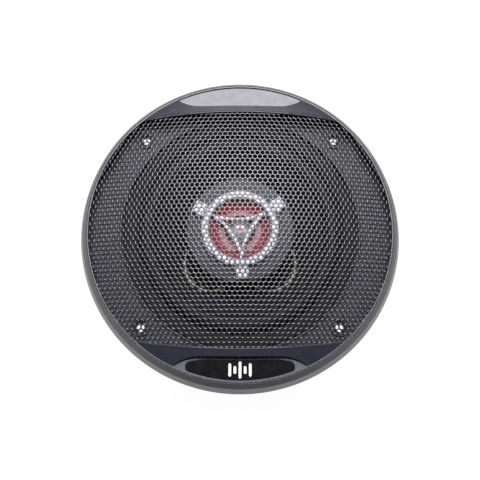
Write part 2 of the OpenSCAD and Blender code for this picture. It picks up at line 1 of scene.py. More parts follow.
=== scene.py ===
"""Coaxial car speaker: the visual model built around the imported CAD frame.

Everything is in metres in the frame's own axes: +Z out of the front, -Y towards the badge.
"""

import math

import bpy
import numpy as np
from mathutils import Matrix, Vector
from mathutils.geometry import tessellate_polygon


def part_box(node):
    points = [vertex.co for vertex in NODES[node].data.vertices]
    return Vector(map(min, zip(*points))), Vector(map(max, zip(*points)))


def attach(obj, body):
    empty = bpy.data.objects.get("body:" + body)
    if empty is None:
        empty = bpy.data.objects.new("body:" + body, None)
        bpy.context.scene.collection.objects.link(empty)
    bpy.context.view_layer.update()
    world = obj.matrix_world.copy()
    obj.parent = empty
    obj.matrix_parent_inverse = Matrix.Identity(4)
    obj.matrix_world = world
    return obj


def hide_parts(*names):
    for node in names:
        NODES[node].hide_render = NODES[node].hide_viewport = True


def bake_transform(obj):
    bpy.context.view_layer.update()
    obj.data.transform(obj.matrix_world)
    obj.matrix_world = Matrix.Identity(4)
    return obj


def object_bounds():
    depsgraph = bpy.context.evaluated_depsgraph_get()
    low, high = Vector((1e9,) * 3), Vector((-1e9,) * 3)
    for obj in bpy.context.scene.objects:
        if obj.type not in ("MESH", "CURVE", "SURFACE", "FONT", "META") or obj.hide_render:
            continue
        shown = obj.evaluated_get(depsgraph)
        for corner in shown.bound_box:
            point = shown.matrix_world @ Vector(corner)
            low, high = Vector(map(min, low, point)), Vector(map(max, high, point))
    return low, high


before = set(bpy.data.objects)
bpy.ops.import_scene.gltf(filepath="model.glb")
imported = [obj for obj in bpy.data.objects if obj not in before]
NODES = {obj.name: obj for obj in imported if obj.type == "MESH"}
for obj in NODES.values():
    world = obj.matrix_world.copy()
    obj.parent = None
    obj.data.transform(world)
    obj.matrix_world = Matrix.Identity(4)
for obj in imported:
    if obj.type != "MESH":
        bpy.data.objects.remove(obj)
CAD_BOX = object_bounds()
SCENE = bpy.context.scene
MM = 0.001


def top_of(node):
    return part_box(node)[1].z


def bottom_of(node):
    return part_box(node)[0].z


# ---------------------------------------------------------------- camera

CAMERA_LEAN = math.radians(14.87)  # off the speaker's axis, towards the badge
CAMERA_DISTANCE = 0.4351
CAMERA_AIM = Vector((0, 0, 0.0089))  # on the axis, level with the grille's trim

camera_data = bpy.data.cameras.new("camera")
camera_data.lens = 58.57
camera_data.sensor_width = 36
camera_data.shift_y = -0.0235
camera_data.clip_start = 0.01
camera = bpy.data.objects.new("camera", camera_data)
away = Vector((0, -math.sin(CAMERA_LEAN), math.cos(CAMERA_LEAN)))
camera.location = CAMERA_AIM + away * CAMERA_DISTANCE
camera.rotation_euler = (CAMERA_LEAN, 0, 0)
SCENE.collection.objects.link(camera)
SCENE.camera = camera
SCENE.view_settings.view_transform = "Standard"


# ---------------------------------------------------------------- materials


class Graph:
    """A material's node tree, with short calls to add and join nodes."""

    def __init__(self, name):
        self.material = bpy.data.materials.new(name)
        self.material.use_nodes = True
        self.tree = self.material.node_tree
        self.shader = self.tree.nodes["Principled BSDF"]
        self.place = self.add("ShaderNodeTexCoord")

    def feed(self, socket, value):
        """Join another node's output to the socket, or give the socket a value of its own."""
        if isinstance(value, bpy.types.NodeSocket):
            self.tree.links.new(value, socket)
        else:
            socket.default_value = value

    def add(self, kind, inputs=None, **settings):
        node = self.tree.nodes.new(kind)
        for key, value in settings.items():
            setattr(node, key, value)
        for key, value in (inputs or {}).items():
            self.feed(node.inputs[key], value)
        return node

    def math(self, operation, a, b=0.0):
        return self.add("ShaderNodeMath", {0: a, 1: b}, operation=operation).outputs[0]

    def multiply_add(self, value, factor, addend):
        inputs = {0: value, 1: factor, 2: addend}
        return self.add("ShaderNodeMath", inputs, operation="MULTIPLY_ADD").outputs[0]

    def mix(self, share, first, second, blend_type="MIX"):
        """The first colour, turning into the second as share goes from 0 to 1."""
        inputs = {0: share, 6: first, 7: second}  # 6 and 7 are a Mix node's two colours
        return self.add("ShaderNodeMix", inputs, data_type="RGBA", blend_type=blend_type).outputs[2]

    def axes(self, source="Object"):
        return self.add("ShaderNodeSeparateXYZ", {0: self.place.outputs[source]}).outputs

    def radius(self):
        x, y, _ = self.axes()
        xx = self.math("MULTIPLY", x, x)
        return self.math("SQRT", self.math("ADD", xx, self.math("MULTIPLY", y, y)))

    def noise(self, size, detail, rough, vector=None, dimensions="3D"):
        inputs = {"Scale": 1 / size, "Detail": detail, "Roughness": rough}
        if dimensions == "1D":
            inputs["W"] = vector
        else:
            inputs["Vector"] = vector or self.place.outputs["Object"]
        return self.add("ShaderNodeTexNoise", inputs, noise_dimensions=dimensions).outputs[0]

    def spread(self, value, low, high, a=0.35, b=0.65):
        """The value's stretch from a to b, drawn out to run from low to high."""
        node = self.add("ShaderNodeMapRange", {0: value, 1: a, 2: b, 3: low, 4: high})
        return node.outputs[0]

    def ripple(self, along, pitch):
        """A wave from 0 to 1 along a coordinate, one each pitch."""
        turn = self.math("MULTIPLY", along, 2 * math.pi / pitch)
        return self.multiply_add(self.math("SINE", turn), 0.5, 0.5)


def relief_value(g, kind, size):
    """Height from 0 to 1 of one kind of surface relief, with features of the given size."""
    if kind == "grain":
        return g.noise(size, 3, 0.6)
    if kind == "peel":
        return g.noise(size, 1, 0.4)
    if kind == "turned":
        return g.noise(size, 2, 0.7, g.radius(), "1D")
    if kind == "drawn":
        return g.noise(size, 2, 0.7, g.axes()[2], "1D")
    if kind == "pits":
        cells = g.add("ShaderNodeTexVoronoi", {"Vector": g.place.outputs["Object"], "Scale": 1 / size})
        return g.spread(cells.outputs["Distance"], 0.0, 1.0, 0.05, 0.4)
    if kind == "rings":
        return g.ripple(g.radius(), size)
    if kind == "bands":
        return g.ripple(g.axes()[2], size)
    if kind == "weave":
        x, y, _ = g.axes()
        return g.math("MULTIPLY", g.ripple(x, size), g.ripple(y, size))
    if kind == "braid":
        u, v, _ = g.axes("UV")
        one = g.ripple(g.math("ADD", u, v), size)
        two = g.ripple(g.math("SUBTRACT", u, v), size)
        return g.math("MAXIMUM", one, two)
    raise ValueError(kind)


def finish(name, color, rough, metallic=0.0, relief=(), mottle=0.12, mottle_size=9 * MM,
           rough_spread=0.06, wear=None, hollow_shade=0.0, specular=0.5, coat=0.0, sheen=0.0,
           transmission=0.0, second=None, ior=None, spot=None):
    """A procedural material.

    relief is rows of (kind, size, depth). mottle is the share by which the colour wanders, and second
    a colour that it wanders towards instead. spot is (colour, radius) of a dot on the axis. wear is
    (colour, amount) along raised edges. hollow is painted shade, darkening the low places of the first
    relief.
    """
    g = Graph(name)
    shader = g.shader.inputs
    plain = {"Metallic": metallic, "Specular IOR Level": specular, "Coat Weight": coat,
             "Coat Roughness": 0.08, "Sheen Weight": sheen, "Transmission Weight": transmission}
    if ior:
        plain["IOR"] = ior
    for socket, value in plain.items():
        shader[socket].default_value = value

    far = second or [c * (1 - mottle) for c in color]
    cloud = g.spread(g.noise(mottle_size, 4, 0.6), 0, 1)
    painted = g.mix(cloud, (*color, 1), (*far, 1))
    heights = [(relief_value(g, kind, size), depth) for kind, size, depth in relief]
    # Painted shade: the low places of the first relief are darkened.
    if hollow_shade and heights:
        low = g.spread(heights[0][0], 1 - hollow_shade, 1, 0.1, 0.7)
        painted = g.mix(1, painted, low, "MULTIPLY")
    if spot:
        spot_color, reach = spot
        inside = g.spread(g.radius(), 1, 0, 0.85 * reach, 1.15 * reach)
        painted = g.mix(inside, painted, (*spot_color, 1))
    if wear:
        edge_color, amount = wear
        edges = g.spread(g.add("ShaderNodeNewGeometry").outputs["Pointiness"], 0, amount, 0.52, 0.6)
        broken = g.spread(g.noise(1.6 * MM, 3, 0.7), 0.2, 1)
        painted = g.mix(g.math("MULTIPLY", edges, broken), painted, (*edge_color, 1))
    g.feed(shader["Base Color"], painted)

    patch = g.noise(mottle_size * 0.4, 3, 0.65)
    g.feed(shader["Roughness"], g.spread(patch, max(rough - rough_spread, 0.02), rough + rough_spread))

    normal = None
    for height, depth in heights:
        bump = g.add("ShaderNodeBump", {"Height": height, "Distance": depth, "Strength": 1})
        if normal:
            g.feed(bump.inputs["Normal"], normal)
        normal = bump.outputs[0]
    if normal:
        g.feed(shader["Normal"], normal)
    return g.material


# Materials given a hollow share have painted shade in the low places of their relief.
BLACK_STEEL = finish("black_steel", (0.018, 0.018, 0.02), 0.34, relief=[("peel", 1.4 * MM, 0.03 * MM)],
                     wear=((0.25, 0.25, 0.26), 0.35))
BRIGHT_STEEL = finish("bright_steel", (0.62, 0.62, 0.64), 0.3, 1, [("turned", 0.8 * MM, 0.003 * MM)],
                      second=(0.5, 0.5, 0.53))
STAMPED_STEEL = finish("stamped_steel", (0.6, 0.6, 0.62), 0.3, 1, [("grain", 0.8 * MM, 0.004 * MM)])
FERRITE = finish("ferrite", (0.05, 0.05, 0.054), 0.62, relief=[("pits", 0.5 * MM, 0.03 * MM)], mottle=0.35,
                 mottle_size=5 * MM)
FOAM = finish("foam", (0.03, 0.03, 0.032), 0.9, relief=[("pits", 0.6 * MM, 0.12 * MM)], hollow_shade=0.5)
CONE_BLACK = finish("cone_plastic", (0.009, 0.009, 0.011), 0.5, specular=0.15,
                    relief=[("rings", 1.6 * MM, 0.02 * MM), ("grain", 0.4 * MM, 0.01 * MM)])
RUBBER = finish("surround_rubber", (0.016, 0.016, 0.018), 0.6, specular=0.3, mottle_size=14 * MM,
                relief=[("grain", 0.3 * MM, 0.012 * MM)])
BLACK_CLOTH = finish("black_cloth", (0.02, 0.02, 0.022), 0.85, relief=[("weave", 0.5 * MM, 0.08 * MM)],
                     hollow_shade=0.6, sheen=0.3)
AMBER = finish("amber_film", (0.55, 0.24, 0.04), 0.2, relief=[("drawn", 0.6 * MM, 0.01 * MM)],
               transmission=0.2)
COPPER = finish("copper_wire", (0.62, 0.26, 0.12), 0.3, 1, [("bands", 0.27 * MM, 0.06 * MM)], hollow_shade=0.6)
TINSEL = finish("tinsel", (0.66, 0.38, 0.22), 0.35, 1, [("braid", 0.5, 0.12 * MM)], hollow_shade=0.75)
PALE_BRAID = finish("pale_braid", (0.8, 0.75, 0.52), 0.4, relief=[("braid", 0.5, 0.1 * MM)], hollow_shade=0.5)
SPIDER_CLOTH = finish("spider_cloth", (0.62, 0.5, 0.26), 0.7, relief=[("weave", 0.7 * MM, 0.12 * MM)],
                      hollow_shade=0.45, second=(0.5, 0.38, 0.17), sheen=0.2)
TINNED = finish("tinned_metal", (0.7, 0.69, 0.66), 0.25, 1, [("grain", 0.8 * MM, 0.01 * MM)],
                second=(0.55, 0.54, 0.5))
BOARD = finish("board", (0.11, 0.06, 0.03), 0.5, relief=[("weave", 0.4 * MM, 0.015 * MM)], hollow_shade=0.3,
               mottle=0.3)
CAPACITOR = finish("capacitor_sleeve", (0.02, 0.06, 0.24), 0.22, coat=0.3,
                   relief=[("peel", 2.5 * MM, 0.05 * MM)])
RED_WIRE = finish("red_insulation", (0.45, 0.015, 0.015), 0.35, relief=[("grain", 0.6 * MM, 0.01 * MM)])
BLACK_WIRE = finish("black_insulation", (0.015, 0.015, 0.016), 0.35, relief=[("grain", 0.6 * MM, 0.01 * MM)])
DARK_PLASTIC = finish("dark_plastic", (0.025, 0.025, 0.028), 0.4, relief=[("grain", 0.35 * MM, 0.015 * MM)])
DISC_PLASTIC = finish("disc_plastic", (0.06, 0.06, 0.074), 0.48, relief=[("grain", 0.3 * MM, 0.02 * MM)])
NICKEL = finish("nickel", (0.66, 0.65, 0.62), 0.15, 1, [("peel", 1.5 * MM, 0.004 * MM)])
DOME = finish("dome_film", (0.98, 0.98, 0.99), 0.42, 0.8, [("turned", 0.4 * MM, 0.01 * MM)],
              spot=((0.6, 0.06, 0.08), 1 * MM))
SURROUND_FILM = finish("surround_film", (0.22, 0.03, 0.035), 0.35, relief=[("turned", 0.4 * MM, 0.02 * MM)])
RED_GLOSS = finish("red_plastic", (0.58, 0.045, 0.065), 0.2, relief=[("peel", 2 * MM, 0.012 * MM)], coat=0.4)
GUARD_SILVER = finish("guard_silver", (0.56, 0.56, 0.59), 0.42, 0.6, [("peel", 1.2 * MM, 0.006 * MM)],
                      rough_spread=0.04)
BASE_PLASTIC = finish("base_plastic", (0.048, 0.048, 0.062), 0.45, relief=[("grain", 0.35 * MM, 0.02 * MM)])
TRIM_PLASTIC = finish("trim_plastic", (0.018, 0.018, 0.03), 0.33, relief=[("grain", 0.3 * MM, 0.004 * MM)],
                      mottle=0.15, specular=0.7, rough_spread=0.03)
MESH_PAINT = finish("mesh_steel", (0.012, 0.012, 0.014), 0.27, relief=[("peel", 0.7 * MM, 0.005 * MM)],
                    mottle=0.15, mottle_size=20 * MM, specular=1.0, ior=1.56, rough_spread=0.04)
BADGE = finish("badge_black", (0.006, 0.006, 0.007), 0.08, relief=[("peel", 3 * MM, 0.006 * MM)],
               specular=0.3, coat=0.15, rough_spread=0.03)
MARK = finish("mark_white", (0.86, 0.86, 0.86), 0.4, relief=[("grain", 0.25 * MM, 0.008 * MM)], mottle=0.06)


# ---------------------------------------------------------------- mesh helpers


def piece(name, verts, faces, material, body=None, replaces=(), slot=None,
          sharp=math.radians(35), even=False):
    """A smooth-shaded mesh object that rides on a CAD body and stands for CAD nodes.

    Edges past the sharp angle stay sharp. even shades flat faces flat, next to rounded ones.
    """
    mesh = bpy.data.meshes.new(name)
    mesh.from_pydata([tuple(v) for v in verts], [], faces)
    mesh.validate()
    mesh.materials.append(material)
    mesh.shade_smooth()
    if sharp:
        mesh.set_sharp_from_angle(angle=sharp)
    obj = bpy.data.objects.new(name, mesh)
    SCENE.collection.objects.link(obj)
    if replaces:
        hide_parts(*replaces)
    if body:
        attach(obj, body)
    if even:
        flatten = obj.modifiers.new("flatten", "WEIGHTED_NORMAL")
        flatten.weight = 50
        flatten.keep_sharp = True
    return obj


NEARLY_STRAIGHT = math.radians(88)  # half the angle past which a corner needs no fillet
NOTHING = 1e-7


def rounded(points, steps):
    """A closed profile of (x, y, fillet) rows, with each corner's fillet drawn as an arc."""
    out = []
    for i, (x, y, fillet) in enumerate(points):
        here = Vector((x, y))
        before, after = Vector(points[i - 1][:2]), Vector(points[(i + 1) % len(points)][:2])
        a, b = before - here, after - here
        shorter = min(a.length, b.length)
        if fillet <= 0 or shorter < NOTHING or a.angle(b) / 2 > NEARLY_STRAIGHT:
            out.append((x, y))
            continue
        a.normalize()
        b.normalize()
        half = a.angle(b) / 2
        reach = min(fillet / math.tan(half), 0.49 * shorter)
        radius = reach * math.tan(half)
        centre = here + (a + b).normalized() * (radius / math.sin(half))
        start, end = here + a * reach - centre, here + b * reach - centre
        turn = start.angle_signed(end)
        for k in range(steps + 1):
            angle = -turn * k / steps
            c, s = math.cos(angle), math.sin(angle)
            out.append((centre.x + start.x * c - start.y * s, centre.y + start.x * s + start.y * c))
    return out


def lathe(name, profile, material, turns, **where):
    """A closed profile of (radius, height) turned about the axis; points at radius 0 close the solid."""
    verts, faces, rings = [], [], []
    for r, z in profile:
        if r < NOTHING:
            rings.append([len(verts)] * turns)
            verts.append((0, 0, z))
        else:
            rings.append(list(range(len(verts), len(verts) + turns)))
            verts += [(r * math.cos(a), r * math.sin(a), z)
                      for a in (2 * math.pi * k / turns for k in range(turns))]
    for i, ring in enumerate(rings):
        following = rings[(i + 1) % len(rings)]
        if ring[0] == ring[1] and following[0] == following[1]:
            continue
        for k in range(turns):
            n = (k + 1) % turns
            face = [ring[k], ring[n], following[n], following[k]]
            face = [v for j, v in enumerate(face) if v != face[j - 1]]
            if len(face) > 2:
                faces.append(face)
    return piece(name, verts, faces, material, **where)


def smooth_route(points, steps=6):
    """A Catmull-Rom curve through the points."""
    p = [Vector(points[0])] + [Vector(q) for q in points] + [Vector(points[-1])]
    out = []
    for i in range(1, len(p) - 2):
        for k in range(steps):
            t = k / steps
            out.append(0.5 * (2 * p[i] + (p[i + 1] - p[i - 1]) * t
                              + (2 * p[i - 1] - 5 * p[i] + 4 * p[i + 1] - p[i + 2]) * t * t
                              + (3 * p[i] - p[i - 1] - 3 * p[i + 1] + p[i + 2]) * t ** 3))
    return out + [p[-1]]


def tube(name, route, radius, material, sides=16, **where):
    """A round tube along a route, closed at its ends. UVs: around in turns, along in circumferences."""
    last = len(route) - 1
    dirs = [(route[min(i + 1, last)] - route[max(i - 1, 0)]).normalized() for i in range(last + 1)]
    side = dirs[0].orthogonal().normalized()
    verts, rings, uv_v, run = [], [], [], 0.0
    for i, (centre, along) in enumerate(zip(route, dirs)):
        side = (side - along * side.dot(along)).normalized()
        other = along.cross(side)
        run += (centre - route[i - 1]).length if i else 0
        rings.append(len(verts))
        for k in range(sides):
            a = 2 * math.pi * k / sides
            verts.append(centre + (side * math.cos(a) + other * math.sin(a)) * radius)
            uv_v.append(run / (2 * math.pi * radius))
    faces = [[rings[i] + k, rings[i] + (k + 1) % sides, rings[i + 1] + (k + 1) % sides, rings[i + 1] + k]
             for i in range(len(rings) - 1) for k in range(sides)]
    faces += [list(range(sides))[::-1], list(range(rings[-1], rings[-1] + sides))]
    obj = piece(name, verts, faces, material, **where)
    layer = obj.data.uv_layers.new(name="along")
    for polygon in obj.data.polygons:
        at_seam = any(v % sides == sides - 1 for v in polygon.vertices)
        for loop in polygon.loop_indices:
            v = obj.data.loops[loop].vertex_index
            u = 1 if at_seam and v % sides == 0 else (v % sides) / sides
            layer.data[loop].uv = (u, uv_v[v])
    return obj


def dress(node, material, bevel):
    """Give a CAD node its material, weld it and round its sharp edges."""
    obj = NODES[node]
    obj.data.materials.clear()
    obj.data.materials.append(material)
    if "custom_normal" in obj.data.attributes:
        obj.data.attributes.remove(obj.data.attributes["custom_normal"])
    obj.data.shade_smooth()
    weld = obj.modifiers.new("weld", "WELD")
    weld.merge_threshold = 2e-6
    round_edges = obj.modifiers.new("round", "BEVEL")
    round_edges.width = bevel
    round_edges.segments = 3
    round_edges.limit_method = "ANGLE"
    round_edges.angle_limit = math.radians(30)
    round_edges.use_clamp_overlap = False
    flatten = obj.modifiers.new("flatten", "WEIGHTED_NORMAL")
    flatten.mode = "FACE_AREA"
    flatten.weight = 50


# ---------------------------------------------------------------- perforated grille

MESH_TOP = top_of("grille_mesh")
MESH_RIM_LOW = bottom_of("grille_mesh")
MESH_BALL = 300 * MM  # radius of the ball that the sheet is part of
MESH_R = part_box("grille_mesh")[1].x
MESH_T = 0.6 * MM
RIM_INSET = (MESH_R - 0.8 * MM) / MESH_R  # the bent rim's inner side, as a share of its outer one
MESH_HALF_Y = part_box("grille_mesh")[1].y  # where the tucked straight edges end
EDGE_ARC_R = 381.5 * MM
HOLE_PITCH = 2.78 * MM
CELL_R = HOLE_PITCH / math.sqrt(3)  # out to a hexagonal cell's corners
HOLE_TOP_R = 1.2 * MM
HOLE_R = 1.02 * MM
HOLE_EDGE = 0.24 * MM  # depth of the bevel round each hole
CELL_MARGIN = 0.15 * MM  # between the last whole cells and the outline


def ball_z(top, x, y, depth=0.0):
    """Height of a ball of the sheet's radius, or of a surface at a depth inside it, that rises to top."""
    return top - MESH_BALL + math.sqrt((MESH_BALL - depth) ** 2 - x * x - y * y)


def edge_y(x):
    """The tucked straight edge's distance from the X axis."""
    return MESH_HALF_Y - EDGE_ARC_R + math.sqrt(EDGE_ARC_R ** 2 - x * x)


def crossing(gap, low, high, count):
    """The x between low and high at which gap(x) is nearest to zero."""
    return min((abs(gap(x)), x) for x in np.linspace(low, high, count))[1]


def mesh_outline(count=240):
    """The sheet's outline: two arcs of the rim and two nearly straight edges. True marks the rim."""
    corner_x = crossing(lambda x: math.hypot(x, edge_y(x)) - MESH_R, 20 * MM, MESH_R, 4000)
    corner = math.atan2(edge_y(corner_x), corner_x)
    out = []
    for side in (1, -1):
        middle = 0 if side > 0 else -math.pi
        turn = [middle + corner * (2 * k / count - 1) for k in range(count + 1)]
        out += [(MESH_R * math.cos(a), MESH_R * math.sin(a), True) for a in turn]
        xs = np.linspace(side * corner_x, -side * corner_x, 60)[1:-1]
        out += [(x, side * edge_y(x), False) for x in xs]
    return out


def polygon_round(cx, cy, radius, count):
    """Corners of a regular polygon, the first at 30 degrees."""
    angles = [math.radians(30) + 2 * math.pi * k / count for k in range(count)]
    return [(cx + radius * math.cos(a), cy + radius * math.sin(a)) for a in angles]


class Sheet:
    """The domed sheet as it grows: its points lie at a depth below the ball's surface."""

    def __init__(self):
        self.verts, self.faces, self.shared = [], [], {}

    def vertex(self, x, y, depth):
        self.verts.append((x, y, ball_z(MESH_TOP, x, y, depth)))
        return len(self.verts) - 1

    def corner(self, x, y, depth):
        """A cell's corner, which the cells around it share."""
        key = (round(2 * x / HOLE_PITCH), round(2 * y / CELL_R), depth > 0)
        if key not in self.shared:
            self.shared[key] = self.vertex(x, y, depth)
        return self.shared[key]

    def cell(self, cx, cy):
        """A hexagonal cell with its hole. Returns its (upper edge, lower edge) pairs."""
        corners = polygon_round(cx, cy, CELL_R, 6)
        top = [self.corner(x, y, 0) for x, y in corners]
        low = [self.corner(x, y, MESH_T) for x, y in corners]
        rim = [self.vertex(x, y, 0) for x, y in polygon_round(cx, cy, HOLE_TOP_R, 12)]
        throat = [self.vertex(x, y, HOLE_EDGE) for x, y in polygon_round(cx, cy, HOLE_R, 12)]
        for k in range(6):
            n, a, b, c = (k + 1) % 6, 2 * k, 2 * k + 1, (2 * k + 2) % 12
            self.faces += [[top[k], rim[b], rim[a]], [top[k], top[n], rim[b]], [top[n], rim[c], rim[b]]]
            self.faces += [[low[k], throat[a], throat[b]], [low[k], throat[b], low[n]],
                           [low[n], throat[b], throat[c]]]
        for k in range(12):
            n = (k + 1) % 12
            self.faces.append([rim[k], rim[n], throat[n], throat[k]])
        return [((top[k], top[(k + 1) % 6]), (low[k], low[(k + 1) % 6])) for k in range(6)]

    def fill(self, outer, inner, border, border_low):
        """Join the cells' jagged border to the smooth outline, above and below."""
        above, below = outer + border, inner + border_low
        flat = [[Vector(self.verts[v]).to_2d().to_3d() for v in ids] for ids in (outer, border)]
        for tri in tessellate_polygon(flat):
            a, b, c = (Vector(self.verts[above[v]]).to_2d() for v in tri)
            order = tri if (b - a).cross(c - a) > 0 else tri[::-1]
            self.faces.append([above[v] for v in order])
            self.faces.append([below[v] for v in reversed(order)])

    def bend_rim(self, outline, outer, inner):
        """Bend the rim down along the two arcs, and close the straight edges."""
        feet = {}
        for i, (x, y, on_rim) in enumerate(outline):
            if on_rim:
                feet[i] = (len(self.verts), len(self.verts) + 1)
                self.verts += [(x, y, MESH_RIM_LOW), (x * RIM_INSET, y * RIM_INSET, MESH_RIM_LOW)]
        for i in range(len(outline)):
            n = (i + 1) % len(outline)
            if i in feet and n in feet:
                (ao, ai), (bo, bi) = feet[i], feet[n]
                self.faces += [[outer[n], outer[i], ao, bo], [bo, ao, ai, bi], [bi, ai, inner[i], inner[n]]]
                continue
            self.faces.append([outer[n], outer[i], inner[i], inner[n]])
            if i in feet:
                self.faces.append([outer[i], inner[i], feet[i][1], feet[i][0]])
            if n in feet:
                self.faces.append([inner[n], outer[n], feet[n][0], feet[n][1]])


def cell_fits(cx, cy):
    return all(math.hypot(x, y) <= MESH_R - CELL_MARGIN and abs(y) <= edge_y(x) - CELL_MARGIN
               for x, y in polygon_round(cx, cy, CELL_R, 6))


def border_of(edges):
    """The upper points round the last whole cells, in order, and the lower points beneath them."""
    following = {a: b for a, b in edges if (b, a) not in edges}
    loop = [next(iter(following))]
    while following[loop[-1]] != loop[0]:
        loop.append(following[loop[-1]])
    return loop, [edges[(a, following[a])][0] for a in loop]


def perforated_sheet():
    sheet, edges = Sheet(), {}
    row_pitch = HOLE_PITCH * math.sqrt(3) / 2
    rows, columns = int(MESH_R / row_pitch) + 1, int(MESH_R / HOLE_PITCH) + 1
    for j in range(-rows, rows + 1):
        for i in range(-columns, columns + 1):
            cx, cy = (i + 0.5 * (j % 2)) * HOLE_PITCH, j * row_pitch
            if cell_fits(cx, cy):
                edges.update(sheet.cell(cx, cy))
    outline = mesh_outline()
    outer = [sheet.vertex(x, y, 0) for x, y, _ in outline]
    inset = [RIM_INSET if on_rim else 1 for _, _, on_rim in outline]
    inner = [sheet.vertex(x * share, y * share, MESH_T) for (x, y, _), share in zip(outline, inset)]
    sheet.fill(outer, inner, *border_of(edges))
    sheet.bend_rim(outline, outer, inner)
    piece("perforated_mesh", sheet.verts, sheet.faces, MESH_PAINT, "grille", ["grille_mesh"],
          "mesh_steel", sharp=None)


perforated_sheet()


# ---------------------------------------------------------------- grille trim and badge

TRIM_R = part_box("grille_trim")[1].x
FOOT_TOP = 0.9 * MM  # the skirt is upright up to here
FLARE_IN = 2.15 * MM  # and leans in by this much up to the flare's top
FLARE_TOP = 7.9 * MM
LIP_R = TRIM_R - 6 * MM
LIP_TOP = 12.25 * MM
LIP_W = 1.9 * MM
GROOVE_DEPTH = 0.5 * MM  # the fine groove round the lip's bead
TRIM_WHERE = {"body": "grille", "replaces": ["grille_trim"], "slot": "trim_plastic",
              "sharp": math.radians(40), "even": True}

CHEEK_TOP = MESH_TOP + 0.9 * MM
CHEEK_LOW = MESH_TOP + 0.1 * MM
CHEEK_BASE = 9.8 * MM
CHEEK_OUT_R = LIP_R + 0.9 * MM  # the cheeks' outer side, which is sunk in the lip
CHEEK_EDGE_BACK = 3 * MM  # how far the mesh is tucked under the cheek's edge
CHEEK_EDGE_ROUND = 0.4 * MM
CHEEK_LEAST = 1 * MM  # of flat between the edge and the recess
RECESS_FLOOR = 11.4 * MM
RECESS_Y = 71.2 * MM
RECESS_FLAT_X = 22 * MM
RECESS_CORNER_R = 22 * MM
RECESS_FADE = 3 * MM  # the recess's wall has its full shape from this far inside the lip
CLOSED_PAST = 0.05 * MM  # where the recess is closed, its wall is this far past the lip's inner side
WALL_ROUND = 0.12 * MM  # along the recess's upper edge at its two ends
WALL_ROUND_MORE = 0.4 * MM  # what is added to it along the middle
WALL_SLOPE = 0.12
COVE = 0.3 * MM  # along the recess's floor
ROUND_STEPS, FLAT_STEPS = 5, 8


def circle_y(radius, x):
    """How far a circle about the axis is from the X axis at x."""
    return math.sqrt(max(radius * radius - x * x, 0))


def quarter_turn(steps):
    return [math.pi / 2 * k / steps for k in range(steps + 1)]


def cheek_section(x):
    """The cheek's cross-section at x as (y, z) points, always the same number of them."""
    lip, lip_in = circle_y(CHEEK_OUT_R, x), circle_y(LIP_R, x)
    wanted = edge_y(x) - CHEEK_EDGE_BACK
    edge = min(wanted, lip - 0.02 * MM)

    # The recess opens between the cheek's flat and the lip, and closes towards its two ends
    beyond = max(abs(x) - RECESS_FLAT_X, 0)
    recess = RECESS_Y + RECESS_CORNER_R - circle_y(RECESS_CORNER_R, beyond)
    open_share = min(max((lip_in - recess) / RECESS_FADE, 0), 1)
    closed_at = lip_in + CLOSED_PAST
    recess = min(recess, closed_at) if beyond < RECESS_CORNER_R else closed_at
    recess = max(recess, min(wanted + CHEEK_LEAST, lip - 0.01 * MM))

    edge_round = min(CHEEK_EDGE_ROUND, (recess - edge) / 3)
    wall_round = min(WALL_ROUND + WALL_ROUND_MORE * open_share, (recess - edge) / 3)
    quarter = [(1 - math.cos(a), 1 - math.sin(a)) for a in quarter_turn(ROUND_STEPS)]
    top = ball_z(CHEEK_TOP, x, edge)
    out = [(edge, ball_z(CHEEK_LOW, x, edge))]
    out += [(edge + edge_round * across, top - edge_round * down) for across, down in quarter]
    flat_start, flat_end = edge + edge_round, recess - wall_round
    flat = [flat_start + (flat_end - flat_start) * k / FLAT_STEPS for k in range(1, FLAT_STEPS)]
    out += [(y, ball_z(CHEEK_TOP, x, y)) for y in flat]
    top = ball_z(CHEEK_TOP, x, flat_end)
    out += [(recess - wall_round * across, top - wall_round * down) for down, across in quarter]

    foot = min(recess + WALL_SLOPE * (top - RECESS_FLOOR) * open_share, lip)
    cove = COVE * open_share
    out += [(foot, RECESS_FLOOR + cove), (min(foot + 0.3 * cove, lip), RECESS_FLOOR + 0.3 * cove),
            (min(foot + cove, lip), RECESS_FLOOR), (lip, RECESS_FLOOR), (lip, CHEEK_BASE)]
    back = min(edge + CHEEK_EDGE_BACK + 0.2 * MM, lip)
    out += [(back, CHEEK_BASE), (back, min(ball_z(CHEEK_LOW, x, back), top))]
    return out


def trim_ring():
    """The flared skirt, and the lip with its bead and fine groove."""
    skirt = [(TRIM_R - 1.7 * MM, 0, 0.2 * MM), (TRIM_R, 0, 0.3 * MM), (TRIM_R, FOOT_TOP, 0.9 * MM),
             (TRIM_R - FLARE_IN, FLARE_TOP, 1.2 * MM)]
    lip = [(LIP_R + 1.25 * MM, LIP_TOP - 0.12 * MM, 0.2 * MM),
           (LIP_R + 0.85 * MM, LIP_TOP - GROOVE_DEPTH, 0.1 * MM), (LIP_R + 0.65 * MM, LIP_TOP, 0.12 * MM),
           (LIP_R, LIP_TOP, 0.12 * MM), (LIP_R, RECESS_FLOOR, 0.1 * MM)]
    inside = [(LIP_R + LIP_W, 11 * MM, 0.3 * MM), (LIP_R + LIP_W, 8.6 * MM, 1 * MM)]
    lathe("grille_trim_ring", rounded(skirt + lip + inside, 6), TRIM_PLASTIC, 256, **TRIM_WHERE)


